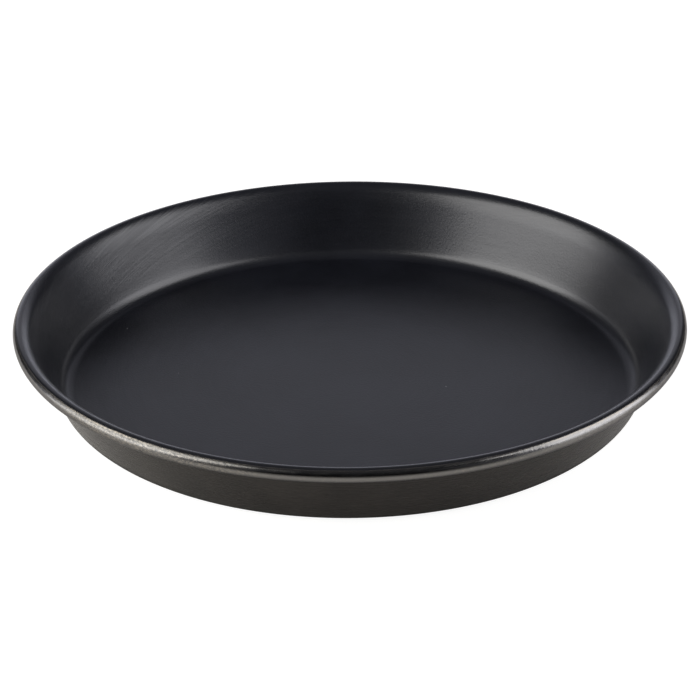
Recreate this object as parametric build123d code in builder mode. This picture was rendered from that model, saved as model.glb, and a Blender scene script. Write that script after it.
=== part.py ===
from build123d import *

import math
import os

# Round steel pizza pan: one drawn sheet whose edge is rolled round a hoop of wire.
# Millimetres, +Z up. The origin is the centre of the flat underside, where the pan rests.

# Driving dimensions of the drawn sheet
rim_diameter = 320.0  # over the outside of the rolled rim
pan_height = 37.0  # from the underside to the top of the rolled rim
sheet_thickness = 1.0
wall_lean = 24.2  # degrees that the wall leans outwards from upright
floor_corner_radius = 9.0  # inside, where the floor turns up into the wall

# Driving dimensions of the rolled rim
wire_diameter = 4.4
curl_clearance = 0.05  # least gap between the wire and the sheet that is rolled round it
seam_gap = 0.15  # between the sheet's free edge and the back of the wall
wire_end_gap = 1.0  # between the two butted ends of the wire hoop

# The roll and the wire are slender and go all the way round the pan, so their round sections are
# drawn with this many short chords, which keeps the model light.
curl_chords = 10
wire_chords = 8

# The roll in the pan's section: the corners of its chords lie on two circles about one centre.
# The middles of the inner chords clear the wire.
curl_inner_radius = (wire_diameter / 2 + curl_clearance) / math.cos(math.pi / curl_chords)
curl_outer_radius = curl_inner_radius + sheet_thickness
curl_centre = Vector(rim_diameter / 2 - curl_outer_radius, pan_height - curl_outer_radius)

# The cooking side of the wall runs straight into the outside of the roll. The roll goes over the
# top, down the outside and back in below, until its outer corner is one seam gap from the wall.
curl_start_angle = 180 - wall_lean
free_edge_angle = math.degrees(math.acos((curl_inner_radius - seam_gap) / curl_outer_radius))
curl_sweep = 360 - free_edge_angle

# The butt of the wire hoop is turned to the back of the pan.
wire_gap_angle = math.degrees(wire_end_gap / curl_centre.X)
wire_start_plane = Plane.XZ.rotated((0, 0, 90 + wire_gap_angle / 2))


def curl_points(radius):
    """The corners of the roll's chords at one radius, from the wall's top to the free edge."""
    chord_turn = curl_sweep / curl_chords
    spoke = Vector(radius, 0).rotate(Axis.Z, curl_start_angle)
    return [curl_centre + spoke.rotate(Axis.Z, -step * chord_turn) for step in range(curl_chords + 1)]


def sheet_side(depth):
    """Draw one side of the sheet, at a depth behind its cooking side.

    The side runs from the pan's axis over the floor, up the wall and round the roll. Returns its
    two ends, at the axis and at the sheet's free edge.
    """
    curl = curl_points(curl_outer_radius - depth)
    wall_top = curl[0]
    floor_centre = Vector(0, sheet_thickness - depth)
    wall_run = (wall_top.Y - floor_centre.Y) * math.tan(math.radians(wall_lean))
    wall_foot = Vector(wall_top.X - wall_run, floor_centre.Y)
    FilletPolyline(floor_centre, wall_foot, wall_top, radius=floor_corner_radius + depth)
    Polyline(*curl)
    return floor_centre, curl[-1]


# Drawn sheet: flat floor, rounded corner, leaning wall and rolled rim, turned round the pan's axis
with BuildPart() as pan_body:
    with BuildSketch(Plane.XZ) as sheet_section:
        with BuildLine() as sheet_outline:
            cooking_side_ends = sheet_side(0)
            back_side_ends = sheet_side(sheet_thickness)
            for cooking_end, back_end in zip(cooking_side_ends, back_side_ends):
                Line(cooking_end, back_end)
        make_face()
    revolve(axis=Axis.Z)
pan_body.part.label = "pan_body"


# Wire hoop: a round wire bent to a ring in the middle of the roll, its ends butted
with BuildPart() as rim_wire:
    with BuildSketch(wire_start_plane) as wire_section:
        with Locations(curl_centre):
            RegularPolygon(wire_diameter / 2, wire_chords)
    revolve(axis=Axis.Z, revolution_arc=360 - wire_gap_angle)
rim_wire.part.label = "rim_wire"


os.makedirs("parts", exist_ok=True)
export_step(pan_body.part, "parts/pan_body.step")
export_step(rim_wire.part, "parts/rim_wire.step")
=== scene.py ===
import logging
import math
from dataclasses import dataclass, field
from enum import Enum, IntEnum

import bmesh
import bpy
from mathutils import Matrix, Vector


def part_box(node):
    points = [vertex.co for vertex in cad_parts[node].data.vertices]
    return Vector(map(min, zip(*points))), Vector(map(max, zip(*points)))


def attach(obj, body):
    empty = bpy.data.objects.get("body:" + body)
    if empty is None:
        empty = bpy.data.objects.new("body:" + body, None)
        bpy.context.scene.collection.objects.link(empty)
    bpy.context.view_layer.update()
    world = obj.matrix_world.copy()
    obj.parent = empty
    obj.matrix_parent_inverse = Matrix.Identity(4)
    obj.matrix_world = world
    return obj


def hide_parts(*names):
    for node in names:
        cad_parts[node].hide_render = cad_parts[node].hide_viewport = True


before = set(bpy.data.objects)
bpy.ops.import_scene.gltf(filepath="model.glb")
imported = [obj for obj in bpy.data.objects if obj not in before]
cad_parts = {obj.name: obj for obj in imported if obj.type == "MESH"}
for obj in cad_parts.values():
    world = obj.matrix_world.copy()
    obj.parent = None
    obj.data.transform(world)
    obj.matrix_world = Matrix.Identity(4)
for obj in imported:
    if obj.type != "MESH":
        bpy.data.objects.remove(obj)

LOG = logging.getLogger("pizza_pan")
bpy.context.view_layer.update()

Colour = tuple[float, float, float]
Socket = bpy.types.NodeSocket
Tree = bpy.types.NodeTree
Material = bpy.types.Material


class Place(IntEnum):
    """Material slots of the drawn sheet."""

    COOKING_SIDE = 0
    ROLLED_RIM = 1
    OUTSIDE = 2
    INSIDE_OF_ROLL = 3


class Seen(Enum):
    """Which rays meet a lamp besides those that light matt surfaces."""

    IN_REFLECTIONS = True
    ON_MATT_SURFACES_ONLY = False


@dataclass(frozen=True)
class Span:
    """Two ends of a ramp, and what it gives at each."""

    low: float
    high: float
    to_low: float = 0.0
    to_high: float = 1.0

    @classmethod
    def degrees(cls, low: float, high: float, *results: float) -> "Span":
        """A span between two angles in degrees."""
        return cls(math.radians(low), math.radians(high), *results)


@dataclass(frozen=True)
class Waves:
    """How fine a noise is: waves per metre, octaves, and how strong the finer octaves are."""

    scale: float
    detail: float
    roughness: float


CLOUD_SPAN = Span(0.35, 0.65)
LINE_WAVES = Waves(1.0, 3.0, 0.6)
GRAIN_WAVES = Waves(1.0, 2.0, 0.6)
WHITE: Colour = (1.0, 1.0, 1.0)


class Bench:
    """Places and links nodes in one tree."""

    def __init__(self, tree: Tree) -> None:
        """Start on an empty tree.

        Args:
            tree: the tree that the nodes go into.
        """
        self.tree = tree
        tree.nodes.clear()

    def add(self, kind: str, **settings: object) -> bpy.types.Node:
        """Add a node and set it.

        Args:
            kind: the node's type.
            settings: its properties, by name.

        Returns:
            The new node.
        """
        node = self.tree.nodes.new(kind)
        for name, value in settings.items():
            setattr(node, name, value)
        return node

    def feed(self, socket: Socket, source: object) -> None:
        """Link a socket to another, or set it.

        Args:
            socket: the input.
            source: an output socket, a number, a vector or a colour.
        """
        if isinstance(source, Socket):
            self.tree.links.new(source, socket)
        elif socket.type == "RGBA":
            socket.default_value = (*source, 1.0)
        else:
            socket.default_value = source

    def math(self, operation: str, first: object, second: object = 0.0, third: object = 0.0,
             clamp: bool = False) -> Socket:
        """One step of arithmetic.

        Args:
            operation: the Math node's operation.
            first: the first socket or number.
            second: the second.
            third: the third.
            clamp: keep the result between 0 and 1.

        Returns:
            The result.
        """
        node = self.add("ShaderNodeMath", operation=operation, use_clamp=clamp)
        for socket, source in zip(node.inputs, (first, second, third)):
            self.feed(socket, source)
        return node.outputs[0]

    def product(self, *factors: object) -> Socket:
        """Multiply numbers.

        Args:
            factors: the numbers and sockets.

        Returns:
            Their product.
        """
        result, *rest = factors
        for factor in rest:
            result = self.math("MULTIPLY", result, factor)
        return result

    def at_least(self, least: float, mask: object) -> Socket:
        """Lift a mask, so that it runs from the least value to 1."""
        return self.math("MULTIPLY_ADD", mask, 1.0 - least, least)

    def vector_math(self, operation: str, first: object, second: object = None) -> Socket:
        """One step of vector arithmetic.

        Args:
            operation: the Vector Math node's operation.
            first: the first vector.
            second: the second vector, or the factor for SCALE.

        Returns:
            The result: a number for LENGTH and DOT_PRODUCT, otherwise a vector.
        """
        node = self.add("ShaderNodeVectorMath", operation=operation)
        self.feed(node.inputs[0], first)
        if second is not None:
            self.feed(node.inputs["Scale" if operation == "SCALE" else 1], second)
        return node.outputs["Value" if operation in ("LENGTH", "DOT_PRODUCT") else "Vector"]

    def ramp(self, value: object, span: Span) -> Socket:
        """Turn one range into another with soft ends.

        Args:
            value: the socket to read.
            span: the ramp's ends and results.

        Returns:
            The result.
        """
        node = self.add("ShaderNodeMapRange", interpolation_type="SMOOTHSTEP")
        for name, source in (("Value", value), ("From Min", span.low), ("From Max", span.high),
                             ("To Min", span.to_low), ("To Max", span.to_high)):
            self.feed(node.inputs[name], source)
        return node.outputs[0]

    def between(self, share: object, first: object, second: object, kind: str = "FLOAT") -> Socket:
        """Go from one number or colour to another.

        Args:
            share: how much of the second.
            first: a number, colour or socket.
            second: a number, colour or socket.
            kind: FLOAT for numbers, RGBA for colours.

        Returns:
            What lies between them.
        """
        node = self.add("ShaderNodeMix", data_type=kind)
        start, end, result = {"FLOAT": (2, 3, 0), "RGBA": (6, 7, 2)}[kind]
        for index, source in ((0, share), (start, first), (end, second)):
            self.feed(node.inputs[index], source)
        return node.outputs[result]

    def blend(self, share: object, first: object, second: object) -> Socket:
        """Mix two colours."""
        return self.between(share, first, second, "RGBA")

    def shown(self, share: object, first: Socket, second: Socket) -> Socket:
        """Mix two shaders.

        Args:
            share: how much of the second.
            first: the first shader.
            second: the second shader.

        Returns:
            The mixed shader.
        """
        node = self.add("ShaderNodeMixShader")
        for socket, source in zip(node.inputs, (share, first, second)):
            self.feed(socket, source)
        return node.outputs[0]

    def as_background(self, path: bpy.types.Node) -> Socket:
        """Find the camera's rays, also those through glass, which see a background."""
        return self.math("MAXIMUM", path.outputs["Is Camera Ray"],
                         path.outputs["Is Transmission Ray"])

    def noise(self, vector: object, waves: Waves, scale: Socket | None = None) -> Socket:
        """Soft noise from 0 to 1.

        Args:
            vector: where it is read.
            waves: how fine it is.
            scale: a socket that takes the place of the waves' own scale.

        Returns:
            The noise.
        """
        node = self.add("ShaderNodeTexNoise")
        self.feed(node.inputs["Vector"], vector)
        self.feed(node.inputs["Scale"], waves.scale if scale is None else scale)
        self.feed(node.inputs["Detail"], waves.detail)
        self.feed(node.inputs["Roughness"], waves.roughness)
        return node.outputs["Fac"]

    def split(self, vector: object) -> tuple[Socket, ...]:
        """Take a vector apart.

        Args:
            vector: the vector.

        Returns:
            Its three numbers.
        """
        node = self.add("ShaderNodeSeparateXYZ")
        self.feed(node.inputs[0], vector)
        return tuple(node.outputs)

    def vector(self, x: object, y: object, z: object) -> Socket:
        """Join three numbers to a vector.

        Args:
            x: the first number or socket.
            y: the second.
            z: the third.

        Returns:
            The vector.
        """
        node = self.add("ShaderNodeCombineXYZ")
        for socket, source in zip(node.inputs, (x, y, z)):
            self.feed(socket, source)
        return node.outputs[0]

    def group(self, tree: Tree, **sources: object) -> bpy.types.Node:
        """Place a node group.

        Args:
            tree: the group's tree.
            sources: what feeds its inputs, with underscores for spaces.

        Returns:
            The group's node.
        """
        node = self.add("ShaderNodeGroup", node_tree=tree)
        for name, source in sources.items():
            self.feed(node.inputs[name.replace("_", " ")], source)
        return node


def new_group(name: str, inputs: dict[str, tuple[str, object]],
              outputs: dict[str, str]) -> tuple[Bench, dict, dict]:
    """Make a node group with named sockets.

    Args:
        name: the group's name.
        inputs: socket kind and default value, by name.
        outputs: socket kind, by name.

    Returns:
        Its bench, its inputs as outputs of the group's input node, and the inputs of its
        output node, both by name.
    """
    tree = bpy.data.node_groups.new(name, "ShaderNodeTree")
    for socket_name, (kind, value) in inputs.items():
        socket = tree.interface.new_socket(socket_name, in_out="INPUT", socket_type=kind)
        if value is not None:
            socket.default_value = value
    for socket_name, kind in outputs.items():
        tree.interface.new_socket(socket_name, in_out="OUTPUT", socket_type=kind)
    bench = Bench(tree)
    source = bench.add("NodeGroupInput")
    result = bench.add("NodeGroupOutput")
    return (bench, {name: source.outputs[name] for name in inputs},
            {name: result.inputs[name] for name in outputs})


FLOAT = "NodeSocketFloat"
VECTOR = "NodeSocketVector"


class Effects:
    """Node groups that more than one finish uses."""

    def __init__(self) -> None:
        """Build each group once."""
        self.turned_place = self._turned_place()
        self.tool_lines = self._tool_lines()
        self.climbing_lines = self._climbing_lines()
        self.grain = self._grain()
        self.specks = self._specks()

    @staticmethod
    def _turned_place() -> Tree:
        """Where a point is on something turned about the upright axis.

        Returns:
            The group: distance from the axis, height, and the direction round the axis.
        """
        bench, given, result = new_group(
            "turned_place", {"Point": (VECTOR, None)},
            {"Distance": FLOAT, "Height": FLOAT, "Direction": VECTOR})
        x, y, z = bench.split(given["Point"])
        flat = bench.vector(x, y, 0.0)
        bench.feed(result["Distance"], bench.vector_math("LENGTH", flat))
        bench.feed(result["Height"], z)
        bench.feed(result["Direction"], bench.vector_math("NORMALIZE", flat))
        return bench.tree

    def _tool_lines(self) -> Tree:
        """Fine lines that a turning tool or brush leaves, drawn out along their run.

        Returns:
            The group: a height from 0 to 1.
        """
        bench, given, result = new_group(
            "tool_lines",
            {"Point": (VECTOR, None), "Lines per metre": (FLOAT, 900.0),
             "Breaks per turn": (FLOAT, 3.0)},
            {"Height": FLOAT})
        place = bench.group(self.turned_place, Point=given["Point"]).outputs
        across = bench.product(place["Distance"], given["Lines per metre"])
        down = bench.product(place["Height"], given["Lines per metre"])
        spread = bench.vector_math("SCALE", place["Direction"], given["Breaks per turn"])
        lines = bench.vector(across, down, bench.math("ADD", across, down))
        lines = bench.vector_math("ADD", spread, lines)
        bench.feed(result["Height"], bench.noise(lines, LINE_WAVES))
        return bench.tree

    def _climbing_lines(self) -> Tree:
        """Fine lines that climb the wall at a slant, as the polishing wheel leaves them.

        Returns:
            The group: a height from 0 to 1.
        """
        bench, given, result = new_group(
            "climbing_lines",
            {"Point": (VECTOR, None), "Lines per radian": (FLOAT, 34.0),
             "Slant": (FLOAT, 28.0), "Breaks per metre": (FLOAT, 30.0)},
            {"Height": FLOAT})
        place = bench.group(self.turned_place, Point=given["Point"]).outputs
        twist = bench.add("ShaderNodeVectorRotate", rotation_type="Z_AXIS")
        bench.feed(twist.inputs["Vector"], place["Direction"])
        bench.feed(twist.inputs["Angle"], bench.product(place["Height"], given["Slant"]))
        spread = bench.vector_math("SCALE", twist.outputs[0], given["Lines per radian"])
        rise = bench.product(place["Height"], given["Breaks per metre"])
        lines = bench.vector_math("ADD", spread, bench.vector(0.0, 0.0, rise))
        bench.feed(result["Height"], bench.noise(lines, LINE_WAVES))
        return bench.tree

    @staticmethod
    def _grain() -> Tree:
        """The even fine grain of a baked-on coat.

        Returns:
            The group: a height from 0 to 1.
        """
        bench, given, result = new_group(
            "grain", {"Point": (VECTOR, None), "Grains per metre": (FLOAT, 1500.0)},
            {"Height": FLOAT})
        grain = bench.noise(given["Point"], GRAIN_WAVES, given["Grains per metre"])
        bench.feed(result["Height"], grain)
        return bench.tree

    @staticmethod
    def _specks() -> Tree:
        """Scattered pinhead specks.

        Returns:
            The group: a mask from 0 to 1.
        """
        bench, given, result = new_group(
            "specks", {"Point": (VECTOR, None), "Cells per metre": (FLOAT, 90.0),
                       "Size": (FLOAT, 0.03), "Share": (FLOAT, 0.3)},
            {"Mask": FLOAT})
        cells = bench.add("ShaderNodeTexVoronoi", feature="F1")
        bench.feed(cells.inputs["Vector"], given["Point"])
        bench.feed(cells.inputs["Scale"], given["Cells per metre"])
        near = bench.math("LESS_THAN", cells.outputs["Distance"], given["Size"])
        pick = bench.add("ShaderNodeSeparateColor")
        bench.feed(pick.inputs[0], cells.outputs["Color"])
        chosen = bench.math("LESS_THAN", pick.outputs[0], given["Share"])
        bench.feed(result["Mask"], bench.product(near, chosen))
        return bench.tree


class Finish:
    """What every finish shares: a material with its bench, shader and point."""

    def __init__(self, name: str) -> None:
        """Start a material.

        Args:
            name: the material's name.
        """
        self.material = bpy.data.materials.new(name)
        self.material.use_nodes = True
        self.bench = Bench(self.material.node_tree)
        self.shader = self.bench.add("ShaderNodeBsdfPrincipled")
        output = self.bench.add("ShaderNodeOutputMaterial")
        self.bench.feed(output.inputs["Surface"], self.shader.outputs[0])
        self.point = self.bench.add("ShaderNodeTexCoord").outputs["Object"]

    def set(self, **sources: object) -> None:
        """Feed the shader numbers, colours or sockets, by names with underscores."""
        for name, source in sources.items():
            self.bench.feed(self.shader.inputs[name.replace("_", " ")], source)

    def bump(self, height: object, depth: float, under: Socket | None = None) -> Socket:
        """Relief on the surface.

        Args:
            height: the relief from 0 to 1.
            depth: what 1 stands for, in metres.
            under: relief that this one lies on.

        Returns:
            The normal.
        """
        node = self.bench.add("ShaderNodeBump")
        node.inputs["Distance"].default_value = depth
        self.bench.feed(node.inputs["Height"], height)
        if under is not None:
            self.bench.feed(node.inputs["Normal"], under)
        return node.outputs[0]

    def effect(self, tree: Tree, **sources: object) -> bpy.types.bpy_prop_collection:
        """Place a shared node group on the finish's point, and give its outputs."""
        return self.bench.group(tree, Point=self.point, **sources).outputs


@dataclass(frozen=True)
class SatinCoat:
    """Blue-black satin coat, baked on the cooking side. Heights are in metres."""

    dark: Colour = (0.0031, 0.0035, 0.0055)
    pale: Colour = (0.0055, 0.0061, 0.0091)
    clouds: Waves = Waves(22.0, 4.0, 0.6)
    speck: Colour = (0.20, 0.20, 0.20)
    specks_per_metre: float = 70.0
    speck_size: float = 0.028
    speck_share: float = 0.22
    tint: Colour = (0.98, 0.98, 1.0)
    ior: float = 1.57
    worn: Span = Span(0.3, 0.7, 0.28, 0.32)
    grains_per_metre: float = 1000.0
    grain_depth: float = 0.000060
    lines_per_metre: float = 700.0
    line_breaks: float = 5.0
    line_depth: float = 0.000016
    wall: Span = Span(0.008, 0.0128)
    brushed_side: Span = Span(0.0, -0.45)
    brushed_end: Span = Span(-0.97, -0.84, 0.3, 1.0)
    climbs_per_radian: float = 85.0
    climb_height: Span = Span(0.008, 0.028, 0.5, 1.0)
    climb_elsewhere: float = 0.15
    climb_depth: float = 0.000130
    film: float = 0.14
    film_roughness: float = 0.30
    film_height: Span = Span(0.0262, 0.0302, 0.6, 1.35)
    film_lines: Span = Span(0.40, 0.60, 0.0, 2.5)
    film_elsewhere: float = 0.2
    even_film: float = 0.5
    streaks_per_radian: float = 14.0
    streak_breaks: float = 70.0
    streak_film: Span = Span(0.38, 0.62)
    low_film: float = 0.34
    low_film_top: Span = Span(0.016, 0.003)
    low_film_foot: Span = Span(0.0015, 0.004)

    def _brushed(self, bench: Bench, direction: Socket) -> Socket:
        """Mask the left stretch of the wall, which was brushed."""
        aside = bench.split(direction)[0]
        return bench.product(bench.ramp(aside, self.brushed_side),
                             bench.ramp(aside, self.brushed_end))

    def _film(self, bench: Bench, height: Socket, streaks: Socket,
              climb: Socket, brushed: Socket) -> Socket:
        """How strong the glossy film on the coat is.

        Args:
            bench: the material's bench.
            height: the height over the table.
            streaks: the broad climbing lines.
            climb: the fine climbing lines.
            brushed: the mask of the brushed stretch.

        Returns:
            The film's weight.
        """
        film = bench.product(bench.ramp(streaks, self.streak_film),
                             bench.ramp(climb, self.film_lines))
        film = bench.between(bench.at_least(self.film_elsewhere, brushed), self.even_film, film)
        film = bench.product(film, bench.ramp(height, self.wall),
                             bench.ramp(height, self.film_height))
        low = bench.product(bench.ramp(height, self.low_film_top),
                            bench.ramp(height, self.low_film_foot), self.low_film)
        return bench.math("MULTIPLY_ADD", film, self.film, low)

    def make(self, effects: Effects) -> Material:
        """Build the material.

        Args:
            effects: the shared node groups.

        Returns:
            The material.
        """
        finish = Finish("satin_coat")
        bench = finish.bench
        clouds = bench.ramp(bench.noise(finish.point, self.clouds), CLOUD_SPAN)
        specks = finish.effect(effects.specks, Cells_per_metre=self.specks_per_metre,
                               Size=self.speck_size, Share=self.speck_share)["Mask"]
        tone = bench.blend(clouds, self.dark, self.pale)
        finish.set(Base_Color=bench.blend(specks, tone, self.speck), IOR=self.ior,
                   Specular_Tint=self.tint)
        lines = finish.effect(effects.tool_lines, Lines_per_metre=self.lines_per_metre,
                              Breaks_per_turn=self.line_breaks)["Height"]
        finish.set(Roughness=bench.ramp(lines, self.worn))
        place = finish.effect(effects.turned_place)
        height = place["Height"]
        brushed = self._brushed(bench, place["Direction"])
        climb = finish.effect(effects.climbing_lines,
                              Lines_per_radian=self.climbs_per_radian)["Height"]
        streaks = finish.effect(effects.climbing_lines, Lines_per_radian=self.streaks_per_radian,
                                Breaks_per_metre=self.streak_breaks)["Height"]
        finish.set(Coat_Weight=self._film(bench, height, streaks, climb, brushed),
                   Coat_Roughness=self.film_roughness)
        relief = finish.bump(lines, self.line_depth)
        climb = bench.product(climb, bench.at_least(self.climb_elsewhere, brushed),
                              bench.ramp(height, self.climb_height), bench.ramp(height, self.wall))
        relief = finish.bump(climb, self.climb_depth, relief)
        grain = finish.effect(effects.grain, Grains_per_metre=self.grains_per_metre)["Height"]
        finish.set(Normal=finish.bump(grain, self.grain_depth, relief))
        return finish.material


@dataclass(frozen=True)
class Stretch:
    """A stretch of the rim, where the curling tool left its marks."""

    turn: float
    half_width: float


@dataclass(frozen=True)
class OnRim:
    """What the rim's finish reads at each point of the roll."""

    direction: Socket
    depth: Socket
    around: Socket
    drawn_out: Socket
    patches: Socket
    ragged: Socket
    bare: Socket
    worked: Socket
    struck: Socket


@dataclass(frozen=True)
class RolledRim:
    """The coat over the top of the roll, rubbed through to burnished steel on its outer side."""

    roll_centre: Vector
    coat: Colour = (0.0062, 0.0064, 0.0080)
    coat_roughness: float = 0.24
    tint: Colour = (0.58, 0.58, 0.60)
    ior: float = 1.8
    steel: Colour = (0.222, 0.218, 0.214)
    rough_steel: Span = Span(0.3, 0.7, 0.27, 0.15)
    worked_roughness: float = 0.07
    across_scale: float = 0.0075
    patches: Waves = Waves(150.0, 5.0, 0.6)
    rub: Span = Span.degrees(56, 51)
    rub_tilt: float = math.radians(6)
    raggedness: float = 0.30
    pitted: tuple[Stretch, ...] = (Stretch(math.radians(-124), math.radians(24)),
                                   Stretch(math.radians(38), math.radians(11)))
    struck_side: Span = Span.degrees(44, 20, 0.3, 1.0)
    soot: Colour = (0.064, 0.063, 0.060)
    spots: Waves = Waves(400.0, 4.0, 0.65)
    sooty_spots: Span = Span(0.55, 0.38)
    spot_share: float = 0.25
    sooty_side: Span = Span.degrees(12, 44, 0.38, 0.78)
    front: Span = Span(-0.76, -0.92)
    # the front stretch of the roll is darker, more so higher up the roll
    darker_front_span: Span = Span.degrees(-6, 16, 0.55, 1.0)
    darker_front_share: float = 0.7
    fleck: Colour = (0.28, 0.26, 0.23)
    fine: Waves = Waves(900.0, 4.0, 0.7)
    flecks: Span = Span(0.54, 0.76)
    struck_flecks: Span = Span(0.44, 0.62, 0.0, 0.85)
    edge: Colour = (0.27, 0.24, 0.20)
    edge_flecks: Span = Span(0.36, 0.56)
    edge_width: float = 0.25
    edge_share: float = 0.75
    edge_in_front: Span = Span(0.0, 1.0, 1.0, 0.40)
    # painted shade: the roll's lower side is darkened, standing in for the shadowed floor it
    # mirrors
    underside_painted_shade: Colour = (0.068, 0.067, 0.065)
    underside_painted_shade_span: Span = Span.degrees(-15, -55)
    # painted shade: a dark band along the front of the roll, standing in for the dim reflection
    # there
    painted_shade_ring: Colour = (0.030, 0.029, 0.028)
    painted_shade_ring_top: Span = Span.degrees(36, 20)
    painted_shade_ring_foot: Span = Span.degrees(0, 14)
    painted_shade_ring_front: Span = Span(-0.86, -0.95, 0.0, 0.8)
    lines_per_metre: float = 2400.0
    line_breaks: float = 14.0
    line_depth: float = 0.000010
    pits: Waves = Waves(800.0, 4.0, 0.6)
    pit_span: Span = Span(0.30, 0.50)
    pits_elsewhere: float = 0.25
    pit_depth: float = 0.0000042
    wrinkled: tuple[Stretch, ...] = (Stretch(math.radians(-60), math.radians(5)),
                                     Stretch(math.radians(131), math.radians(7)))
    folds: Waves = Waves(1.0, 3.0, 0.55)
    folds_per_radian: float = 95.0
    wrinkle_depth: float = 0.000110

    @staticmethod
    def _along(bench: Bench, direction: Socket, stretches: tuple[Stretch, ...]) -> Socket:
        """Mask some stretches of the rim.

        Args:
            bench: the material's bench.
            direction: the direction round the axis.
            stretches: where the mask is 1.

        Returns:
            The mask.
        """
        mask: object = 0.0
        for stretch in stretches:
            middle = (math.cos(stretch.turn), math.sin(stretch.turn), 0.0)
            near = bench.vector_math("DOT_PRODUCT", direction, middle)
            fade = Span(math.cos(stretch.half_width), math.cos(stretch.half_width / 2))
            mask = bench.math("MAXIMUM", mask, bench.ramp(near, fade))
        return mask

    def _read(self, finish: Finish, effects: Effects) -> OnRim:
        """Find out where a point is on the roll, and how the rim is worn there.

        Args:
            finish: the material.
            effects: the shared node groups.

        Returns:
            The sockets to read.
        """
        bench = finish.bench
        place = finish.effect(effects.turned_place)
        direction = place["Direction"]
        out = bench.math("SUBTRACT", place["Distance"], self.roll_centre.x)
        up = bench.math("SUBTRACT", place["Height"], self.roll_centre.z)
        around = bench.math("ARCTAN2", up, out)
        drawn_out = bench.vector_math(
            "ADD", bench.vector_math("SCALE", direction, self.roll_centre.x),
            bench.vector(0.0, 0.0, bench.product(around, self.across_scale)))
        patches = bench.noise(drawn_out, self.patches)
        depth = bench.split(direction)[1]
        line = bench.math("MULTIPLY_ADD", depth, self.rub_tilt, around)
        ragged = bench.math("MULTIPLY_ADD", bench.math("SUBTRACT", patches, 0.5),
                            self.raggedness, line)
        worked = self._along(bench, direction, self.pitted)
        struck = bench.product(worked, bench.ramp(around, self.struck_side))
        return OnRim(direction, depth, around, drawn_out, patches, ragged,
                     bench.ramp(ragged, self.rub), worked, struck)

    def _soot_and_darker_front(self, bench: Bench, rim: OnRim, front: Socket) -> Socket:
        """How much soot lies on the bare steel, and how much darker its front stretch is.

        Args:
            bench: the material's bench.
            rim: the sockets to read.
            front: the mask of the rim's front.

        Returns:
            The mask.
        """
        spots = bench.ramp(bench.noise(rim.drawn_out, self.spots), self.sooty_spots)
        sooty = bench.math("MULTIPLY_ADD", rim.worked, bench.ramp(rim.around, self.sooty_side),
                           bench.product(spots, self.spot_share), clamp=True)
        # darker over the front stretch of the roll, most above its middle
        over = bench.ramp(rim.around, self.darker_front_span)
        return bench.math("MAXIMUM", sooty, bench.product(front, over, self.darker_front_share))

    def _steel_tone(self, bench: Bench, rim: OnRim) -> Socket:
        """Colour of the bare steel, with its soot, flecks and worn edge, its darker front stretch,
        painted shade towards its underside and a painted shade band along its front.

        Args:
            bench: the material's bench.
            rim: the sockets to read.

        Returns:
            The colour.
        """
        front = bench.ramp(rim.depth, self.front)
        tone = bench.blend(self._soot_and_darker_front(bench, rim, front), self.steel, self.soot)
        fine = bench.noise(rim.drawn_out, self.fine)
        flecks = bench.product(bench.ramp(fine, self.struck_flecks), rim.struck)
        flecks = bench.math("MAXIMUM", bench.ramp(fine, self.flecks), flecks)
        tone = bench.blend(flecks, tone, self.fleck)
        rub_end = self.rub.high
        worn_edge = bench.product(
            bench.ramp(fine, self.edge_flecks),
            bench.ramp(rim.ragged, Span(rub_end - self.edge_width, rub_end, 0.0, self.edge_share)),
            bench.ramp(front, self.edge_in_front))
        tone = bench.blend(worn_edge, tone, self.edge)
        # painted shade: darker towards the roll's underside
        tone = bench.blend(bench.ramp(rim.around, self.underside_painted_shade_span), tone, self.underside_painted_shade)
        # painted shade: darkens a band across the roll's front
        painted_shade = bench.product(bench.ramp(rim.around, self.painted_shade_ring_top),
                               bench.ramp(rim.around, self.painted_shade_ring_foot),
                               bench.ramp(rim.depth, self.painted_shade_ring_front))
        return bench.blend(painted_shade, tone, self.painted_shade_ring)

    def _relief(self, finish: Finish, effects: Effects, rim: OnRim) -> Socket:
        """Tool lines, pits and small folds in the bare steel.

        Args:
            finish: the material.
            effects: the shared node groups.
            rim: the sockets to read.

        Returns:
            The normal.
        """
        bench = finish.bench
        lines = finish.effect(effects.tool_lines, Lines_per_metre=self.lines_per_metre,
                              Breaks_per_turn=self.line_breaks)["Height"]
        relief = finish.bump(bench.product(lines, rim.bare), self.line_depth)
        pits = bench.ramp(bench.noise(rim.drawn_out, self.pits), self.pit_span)
        pits = bench.product(pits, bench.at_least(self.pits_elsewhere, rim.struck), rim.bare)
        relief = finish.bump(pits, self.pit_depth, relief)
        spread = bench.vector_math("SCALE", rim.direction, self.folds_per_radian)
        creased = self._along(bench, rim.direction, self.wrinkled)
        folds = bench.product(bench.noise(spread, self.folds), creased, rim.bare)
        return finish.bump(folds, self.wrinkle_depth, relief)

    def make(self, effects: Effects) -> Material:
        """Build the material.

        Args:
            effects: the shared node groups.

        Returns:
            The material.
        """
        finish = Finish("rolled_rim")
        bench = finish.bench
        rim = self._read(finish, effects)
        tone = self._steel_tone(bench, rim)
        finish.set(Base_Color=bench.blend(rim.bare, self.coat, tone), Metallic=rim.bare,
                   IOR=self.ior, Specular_Tint=self.tint)
        rough = bench.math("MULTIPLY_ADD", rim.worked, self.worked_roughness,
                           bench.ramp(rim.patches, self.rough_steel))
        finish.set(Roughness=bench.between(rim.bare, self.coat_roughness, rough),
                   Normal=self._relief(finish, effects, rim))
        return finish.material


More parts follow.
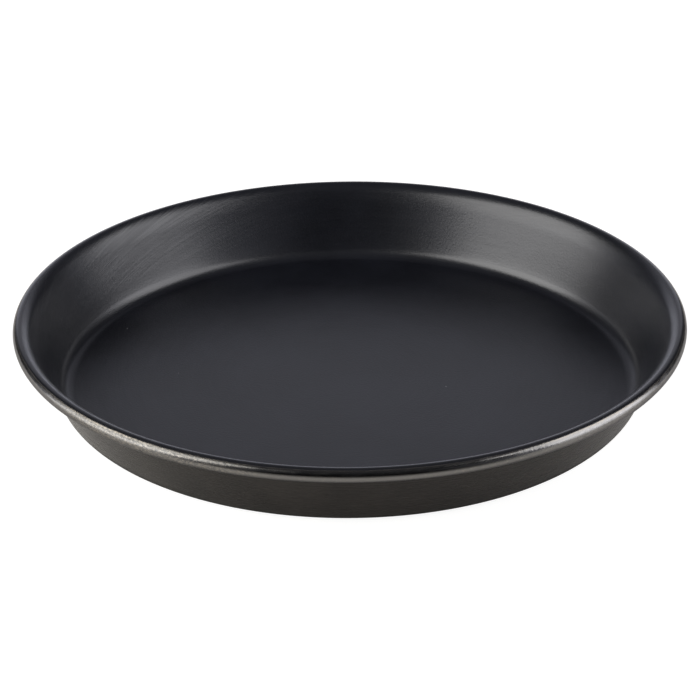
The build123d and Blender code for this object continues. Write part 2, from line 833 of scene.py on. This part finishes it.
@dataclass(frozen=True)
class BlackenedSteel:
    """Warm black oxide on the outside of the drawn sheet."""

    dark: Colour = (0.0144, 0.0134, 0.0124)
    pale: Colour = (0.0218, 0.0196, 0.0176)
    clouds: Waves = Waves(30.0, 5.0, 0.6)
    tint: Colour = (0.385, 0.347, 0.325)
    ior: float = 1.4
    worn: Span = Span(0.3, 0.7, 0.23, 0.31)
    corner: Span = Span(0.007, 0.002)
    corner_roughness: float = 0.70
    lines_per_metre: float = 800.0
    line_breaks: float = 8.0
    line_depth: float = 0.000050
    grains_per_metre: float = 1100.0
    grain_depth: float = 0.000040

    def make(self, effects: Effects) -> Material:
        """Build the material.

        Args:
            effects: the shared node groups.

        Returns:
            The material.
        """
        finish = Finish("blackened_steel")
        bench = finish.bench
        clouds = bench.ramp(bench.noise(finish.point, self.clouds), CLOUD_SPAN)
        finish.set(Base_Color=bench.blend(clouds, self.dark, self.pale), IOR=self.ior,
                   Specular_Tint=self.tint)
        lines = finish.effect(effects.tool_lines, Lines_per_metre=self.lines_per_metre,
                              Breaks_per_turn=self.line_breaks)["Height"]
        corner = bench.ramp(finish.effect(effects.turned_place)["Height"], self.corner)
        finish.set(Roughness=bench.between(corner, bench.ramp(lines, self.worn),
                                           self.corner_roughness))
        relief = finish.bump(lines, self.line_depth)
        grain = finish.effect(effects.grain, Grains_per_metre=self.grains_per_metre)["Height"]
        finish.set(Normal=finish.bump(grain, self.grain_depth, relief))
        return finish.material


@dataclass(frozen=True)
class DrawnWire:
    """Bare drawn wire with a grey skin."""

    bright: Colour = (0.46, 0.45, 0.44)
    dull: Colour = (0.24, 0.235, 0.23)
    skin: Waves = Waves(120.0, 4.0, 0.6)
    worn: Span = Span(0.3, 0.7, 0.35, 0.50)
    lines_per_metre: float = 3000.0
    line_breaks: float = 8.0
    line_depth: float = 0.000010

    def make(self, effects: Effects) -> Material:
        """Build the material.

        Args:
            effects: the shared node groups.

        Returns:
            The material.
        """
        finish = Finish("drawn_wire")
        bench = finish.bench
        skin = bench.ramp(bench.noise(finish.point, self.skin), CLOUD_SPAN)
        lines = finish.effect(effects.tool_lines, Lines_per_metre=self.lines_per_metre,
                              Breaks_per_turn=self.line_breaks)["Height"]
        finish.set(Base_Color=bench.blend(skin, self.dull, self.bright), Metallic=1.0,
                   Roughness=bench.ramp(lines, self.worn),
                   Normal=finish.bump(lines, self.line_depth))
        return finish.material


@dataclass
class DrawnSheet:
    """The pan itself: one sheet drawn to floor, corner and wall, its edge rolled outwards."""

    thickness: float = 0.001
    wall_lean: float = math.radians(21.9)
    flare_lean: float = math.radians(32)
    flare_radius: float = 0.036
    shoulder_lean: float = math.radians(62)
    shoulder_radius: float = 0.009
    corner_radius: float = 0.0078
    roll_radius: float = 0.003366
    roll_end: float = math.radians(-174)
    facets_round: int = 384
    facets_in_roll: int = 40
    facets_in_flare: int = 8
    facets_in_shoulder: int = 10
    facets_in_corner: int = 10
    rings_in_floor: int = 12
    rings_in_wall: int = 8
    merge_distance: float = 0.000001
    rim_finish_from: float = math.radians(100)
    roll_tolerance: float = 1.01
    rim_radius: float = field(init=False)
    height: float = field(init=False)

    def __post_init__(self) -> None:
        """Take the outer sizes from the CAD solid that this sheet stands for."""
        _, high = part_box("pan_body")
        self.rim_radius = high[0]
        self.height = high[2]

    @property
    def roll_centre(self) -> Vector:
        """Centre of the roll in the section."""
        return Vector((self.rim_radius - self.roll_radius, 0.0, self.height - self.roll_radius))

    @property
    def roll_sweep(self) -> float:
        """How far the roll turns, from the flare to the sheet's free edge."""
        return math.pi - self.shoulder_lean - self.roll_end

    @property
    def shoulder_centre(self) -> Vector:
        """Centre of the shoulder, which leads the flare into the roll."""
        back = Vector((math.cos(self.shoulder_lean), 0.0, -math.sin(self.shoulder_lean)))
        return self.roll_centre + back * (self.shoulder_radius - self.roll_radius)

    @property
    def flare_centre(self) -> Vector:
        """Centre of the flare, where the wall begins to lean further out."""
        back = Vector((math.cos(self.flare_lean), 0.0, -math.sin(self.flare_lean)))
        return self.shoulder_centre + back * (self.flare_radius - self.shoulder_radius)

    @property
    def wall_top(self) -> Vector:
        """Where the wall's cooking side runs into the flare."""
        out = Vector((-math.cos(self.wall_lean), 0.0, math.sin(self.wall_lean)))
        return self.flare_centre + out * self.flare_radius

    @property
    def corner_centre(self) -> Vector:
        """Centre of the floor corner in the section."""
        rise = self.wall_top.z - self.thickness
        foot = self.wall_top.x - rise * math.tan(self.wall_lean)
        turn = math.pi / 2 - self.wall_lean
        reach = self.corner_radius * math.tan(turn / 2)
        return Vector((foot - reach, 0.0, self.thickness + self.corner_radius))

    @staticmethod
    def _run(bm: bmesh.types.BMesh, start: bmesh.types.BMVert, end: Vector,
             rings: int) -> bmesh.types.BMVert:
        """Carry the section's line straight on.

        Args:
            bm: the section.
            start: the line's last vertex.
            end: where it goes.
            rings: edges that the run is cut into.

        Returns:
            The line's new last vertex.
        """
        step = (end - start.co) / rings
        for _ in range(rings):
            start = bmesh.ops.extrude_vert_indiv(bm, verts=[start])["verts"][0]
            bmesh.ops.translate(bm, verts=[start], vec=step)
        return start

    @staticmethod
    def _turn(bm: bmesh.types.BMesh, start: bmesh.types.BMVert, centre: Vector, angle: float,
              steps: int) -> bmesh.types.BMVert:
        """Carry the section's line on round a centre.

        Args:
            bm: the section.
            start: the line's last vertex.
            centre: the arc's centre.
            angle: its angle, clockwise.
            steps: its edges.

        Returns:
            The line's new last vertex.
        """
        made = bmesh.ops.spin(bm, geom=[start], cent=centre, axis=(0.0, 1.0, 0.0), angle=angle,
                              steps=steps, use_merge=False)
        return [v for v in made["geom_last"] if isinstance(v, bmesh.types.BMVert)][0]

    def _is_rolled(self, face: bmesh.types.BMFace) -> bool:
        """Tell whether a face lies on the roll, past its top.

        Args:
            face: the face.

        Returns:
            True on the roll.
        """
        middle = face.calc_center_median()
        out = Vector((math.hypot(middle.x, middle.y), 0.0, middle.z)) - self.roll_centre
        over_top = math.atan2(out.z, out.x) < self.rim_finish_from
        return out.length < self.roll_radius * self.roll_tolerance and over_top

    def build(self) -> bpy.types.Object:
        """Model the sheet's cooking side and give it its thickness.

        Returns:
            The finished object.
        """
        bm = bmesh.new()
        axis = bm.verts.new((0.0, 0.0, self.thickness))
        floor_edge = Vector((self.corner_centre.x, 0.0, self.thickness))
        end = self._run(bm, axis, floor_edge, self.rings_in_floor)
        end = self._turn(bm, end, self.corner_centre, self.wall_lean - math.pi / 2,
                         self.facets_in_corner)
        end = self._run(bm, end, self.wall_top, self.rings_in_wall)
        end = self._turn(bm, end, self.flare_centre, self.flare_lean - self.wall_lean,
                         self.facets_in_flare)
        end = self._turn(bm, end, self.shoulder_centre, self.shoulder_lean - self.flare_lean,
                         self.facets_in_shoulder)
        self._turn(bm, end, self.roll_centre, self.roll_sweep, self.facets_in_roll)
        bmesh.ops.spin(bm, geom=bm.verts[:] + bm.edges[:], cent=(0, 0, 0), axis=(0, 0, 1),
                       angle=math.tau, steps=self.facets_round, use_merge=True)
        bmesh.ops.remove_doubles(bm, verts=bm.verts[:], dist=self.merge_distance)
        bmesh.ops.recalc_face_normals(bm, faces=bm.faces[:])
        floor = min(bm.faces, key=lambda face: face.calc_center_median().length)
        if floor.normal.z < 0:
            bmesh.ops.reverse_faces(bm, faces=bm.faces[:])
        for face in bm.faces:
            face.smooth = True
            face.material_index = Place.ROLLED_RIM if self._is_rolled(face) else Place.COOKING_SIDE
        mesh = bpy.data.meshes.new("drawn_sheet")
        bm.to_mesh(mesh)
        bm.free()
        piece = bpy.data.objects.new("drawn_sheet", mesh)
        bpy.context.scene.collection.objects.link(piece)
        wall = piece.modifiers.new("sheet thickness", "SOLIDIFY")
        wall.thickness = self.thickness
        wall.offset = -1.0
        wall.use_even_offset = True
        wall.material_offset = Place.OUTSIDE
        return piece

    def dress(self, piece: bpy.types.Object, effects: Effects) -> None:
        """Give each side of the sheet its finish.

        Args:
            piece: the finished object.
            effects: the shared node groups.
        """
        outside = BlackenedSteel().make(effects)
        finishes = {Place.COOKING_SIDE: SatinCoat().make(effects),
                    Place.ROLLED_RIM: RolledRim(self.roll_centre).make(effects),
                    Place.OUTSIDE: outside, Place.INSIDE_OF_ROLL: outside}
        for place in Place:
            piece.data.materials.append(finishes[place])


@dataclass
class RimWire:
    """The wire hoop inside the roll, kept as the CAD made it."""

    node: str = "rim_wire"

    def dress(self, effects: Effects) -> bpy.types.Object:
        """Give the wire its finish.

        Args:
            effects: the shared node groups.

        Returns:
            The CAD node's object.
        """
        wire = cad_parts[self.node]
        finish = DrawnWire().make(effects)
        for slot in wire.material_slots:
            slot.material = finish
        return wire


@dataclass(frozen=True)
class Softbox:
    """One soft lamp, aimed at the pan from a compass turn and an elevation in degrees."""

    name: str
    turn: float
    elevation: float
    distance: float
    width: float
    height: float
    radiance: float
    seen: Seen = Seen.IN_REFLECTIONS
    colour: Colour = WHITE

    @property
    def place(self) -> Vector:
        """Where the lamp hangs."""
        turn, rise = math.radians(self.turn), math.radians(self.elevation)
        return self.distance * Vector((math.cos(rise) * math.cos(turn),
                                       math.cos(rise) * math.sin(turn), math.sin(rise)))

    def hang(self) -> None:
        """Put the lamp in its place."""
        lamp = bpy.data.lights.new(self.name, "AREA")
        lamp.shape = "RECTANGLE"
        lamp.size = self.width
        lamp.size_y = self.height
        lamp.energy = self.radiance * math.pi * self.width * self.height
        lamp.color = self.colour
        holder = bpy.data.objects.new(self.name, lamp)
        holder.rotation_euler = (-self.place).to_track_quat("-Z", "Y").to_euler()
        holder.location = self.place
        holder.visible_camera = False
        holder.visible_glossy = self.seen.value
        bpy.context.scene.collection.objects.link(holder)


@dataclass(frozen=True)
class FloorPaint:
    """White paint that shows white to the camera and in reflections."""

    paint: Colour = (0.91, 0.88, 0.83)
    glow: float = 1.3
    glow_share: float = 0.70
    mirrored_share: float = 0.05

    def make(self) -> Material:
        """Build the material.

        Returns:
            The material.
        """
        material = bpy.data.materials.new("floor_paint")
        material.use_nodes = True
        bench = Bench(material.node_tree)
        paint = bench.add("ShaderNodeBsdfDiffuse")
        bench.feed(paint.inputs["Color"], self.paint)
        white = bench.add("ShaderNodeEmission")
        bench.feed(white.inputs["Strength"], self.glow)
        path = bench.add("ShaderNodeLightPath")
        mirrored = bench.product(path.outputs["Is Glossy Ray"], self.mirrored_share)
        share = bench.math("MULTIPLY_ADD", bench.as_background(path), self.glow_share, mirrored)
        above = bench.shown(share, paint.outputs[0], white.outputs[0])
        clear = bench.add("ShaderNodeBsdfTransparent")
        facing = bench.add("ShaderNodeNewGeometry")
        output = bench.add("ShaderNodeOutputMaterial")
        bench.feed(output.inputs["Surface"],
                   bench.shown(facing.outputs["Backfacing"], above, clear.outputs[0]))
        return material


@dataclass(frozen=True)
class Room:
    """Soft light from all round: pale at the horizon and the back, dim overhead."""

    light: Colour = (0.91, 0.92, 1.04)
    horizon: Span = Span(0.07, 0.03, 0.0, 0.05)
    ceiling: Span = Span(0.60, 0.85, 0.040, 0.12)
    paper_top: Span = Span(0.80, 0.50, 0.0, 0.34)
    paper_foot: Span = Span(0.46, 0.22, 0.0, 0.66)
    paper_edge: Span = Span(0.56, 0.38)
    paper_shift: float = 0.06
    least_depth: float = 0.01
    side_height: Span = Span(0.60, 0.20, 0.0, 0.46)
    side_back: Span = Span(0.65, 0.25)
    side_front: Span = Span(-0.90, -0.78)
    side_skew: float = -0.02

    def _level(self, bench: Bench, direction: Socket) -> Socket:
        """How strong the light is from each direction.

        Args:
            bench: the world's bench.
            direction: where the light comes from.

        Returns:
            The strength.
        """
        aside, depth, rise = bench.split(direction)
        across = bench.math("DIVIDE", aside, bench.math("MAXIMUM", depth, self.least_depth))
        across = bench.math("ABSOLUTE", bench.math("ADD", across, self.paper_shift))
        paper = bench.math("ADD", bench.ramp(rise, self.paper_top),
                           bench.ramp(rise, self.paper_foot))
        paper = bench.product(paper, bench.ramp(across, self.paper_edge))
        ahead = bench.math("MULTIPLY_ADD", aside, self.side_skew, depth)
        sides = bench.product(bench.ramp(rise, self.side_height),
                              bench.ramp(depth, self.side_back),
                              bench.ramp(ahead, self.side_front))
        level = bench.math("ADD", bench.math("MAXIMUM", paper, sides),
                           bench.ramp(rise, self.horizon))
        return bench.math("ADD", level, bench.ramp(rise, self.ceiling))

    def fill(self) -> None:
        """Fill the world with the light, and show white to the camera."""
        world = bpy.data.worlds.new("studio_room")
        world.use_nodes = True
        bpy.context.scene.world = world
        bench = Bench(world.node_tree)
        direction = bench.add("ShaderNodeTexCoord").outputs["Generated"]
        light = bench.add("ShaderNodeBackground")
        bench.feed(light.inputs["Strength"], self._level(bench, direction))
        bench.feed(light.inputs["Color"], self.light)
        white = bench.add("ShaderNodeBackground")
        bench.feed(white.inputs["Color"], WHITE)
        seen = bench.as_background(bench.add("ShaderNodeLightPath"))
        output = bench.add("ShaderNodeOutputWorld")
        bench.feed(output.inputs["Surface"], bench.shown(seen, light.outputs[0], white.outputs[0]))


@dataclass
class Studio:
    """Pale floor, soft light and the camera."""

    floor_radius: float = 30.0
    floor_drop: float = 0.0003
    floor_corners: int = 96
    camera_place: Vector = field(default_factory=lambda: Vector((0.0, -1.02411, 0.52448)))
    camera_aim: Vector = field(default_factory=lambda: Vector((0.0, 0.0, 0.01416)))
    camera_roll: float = math.radians(-0.4493)
    lens: float = 122.1
    sensor: float = 36.0
    right_light: Colour = (0.995, 0.99, 1.01)
    left_light: Colour = (1.0, 0.99, 0.965)

    def lay_floor(self) -> None:
        """Lay a white floor that keeps the pan's shadow, a hair below the pan."""
        bm = bmesh.new()
        bmesh.ops.create_circle(bm, cap_ends=True, segments=self.floor_corners,
                                radius=self.floor_radius,
                                matrix=Matrix.Translation((0.0, 0.0, -self.floor_drop)))
        mesh = bpy.data.meshes.new("studio_floor")
        bm.to_mesh(mesh)
        bm.free()
        floor = bpy.data.objects.new("studio_floor", mesh)
        bpy.context.scene.collection.objects.link(floor)
        floor.data.materials.append(FloorPaint().make())

    def hang_lamps(self) -> None:
        """Hang a softbox on each side, and fill lamps that don't show in reflections."""
        right, left, matt = self.right_light, self.left_light, Seen.ON_MATT_SURFACES_ONLY
        for lamp in (
            Softbox("right_softbox", turn=-4, elevation=33.5, distance=2.0, width=1.75,
                    height=1.5, radiance=2.8, colour=right),
            Softbox("right_apron", turn=-2, elevation=6, distance=2.0, width=1.7,
                    height=0.5, radiance=1.5, colour=right),
            Softbox("left_softbox", turn=195, elevation=33.5, distance=2.0, width=2.1,
                    height=1.5, radiance=4.1, colour=left),
            Softbox("left_apron", turn=186, elevation=6, distance=2.0, width=1.7,
                    height=0.5, radiance=2.7, colour=left),
            Softbox("top_fill", turn=-90, elevation=90, distance=2.4, width=2.4,
                    height=2.4, radiance=0.4, seen=matt),
            Softbox("front_fill", turn=-90, elevation=30, distance=2.8, width=2.0,
                    height=1.6, radiance=0.8, seen=matt),
        ):
            lamp.hang()

    def stand_camera(self) -> None:
        """Stand the camera where the photograph was taken from."""
        lens = bpy.data.cameras.new("photo_camera")
        lens.sensor_width = self.sensor
        lens.lens = self.lens
        camera = bpy.data.objects.new("photo_camera", lens)
        back = (self.camera_place - self.camera_aim).normalized()
        level = Vector((1.0, 0.0, 0.0))
        upright = back.cross(level)
        right = level * math.cos(self.camera_roll) + upright * math.sin(self.camera_roll)
        up = back.cross(right)
        turn = Matrix((right, up, back)).transposed()
        camera.matrix_world = Matrix.Translation(self.camera_place) @ turn.to_4x4()
        bpy.context.scene.collection.objects.link(camera)
        bpy.context.scene.camera = camera

    def build(self) -> None:
        """Set up the whole studio."""
        self.lay_floor()
        Room().fill()
        self.hang_lamps()
        self.stand_camera()
        bpy.context.scene.view_settings.view_transform = "Standard"


def report(piece: bpy.types.Object) -> None:
    """Log a piece's name and faces."""
    LOG.info("%s: %d faces", piece.name, len(piece.data.polygons))


def main() -> None:
    """Build the pan and the studio round it."""
    logging.basicConfig(level=logging.INFO)
    Studio().build()
    effects = Effects()
    sheet = DrawnSheet()
    pan = sheet.build()
    sheet.dress(pan, effects)
    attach(pan, "root")
    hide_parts("pan_body")
    report(pan)
    report(RimWire().dress(effects))


if __name__ == "__main__":
    main()
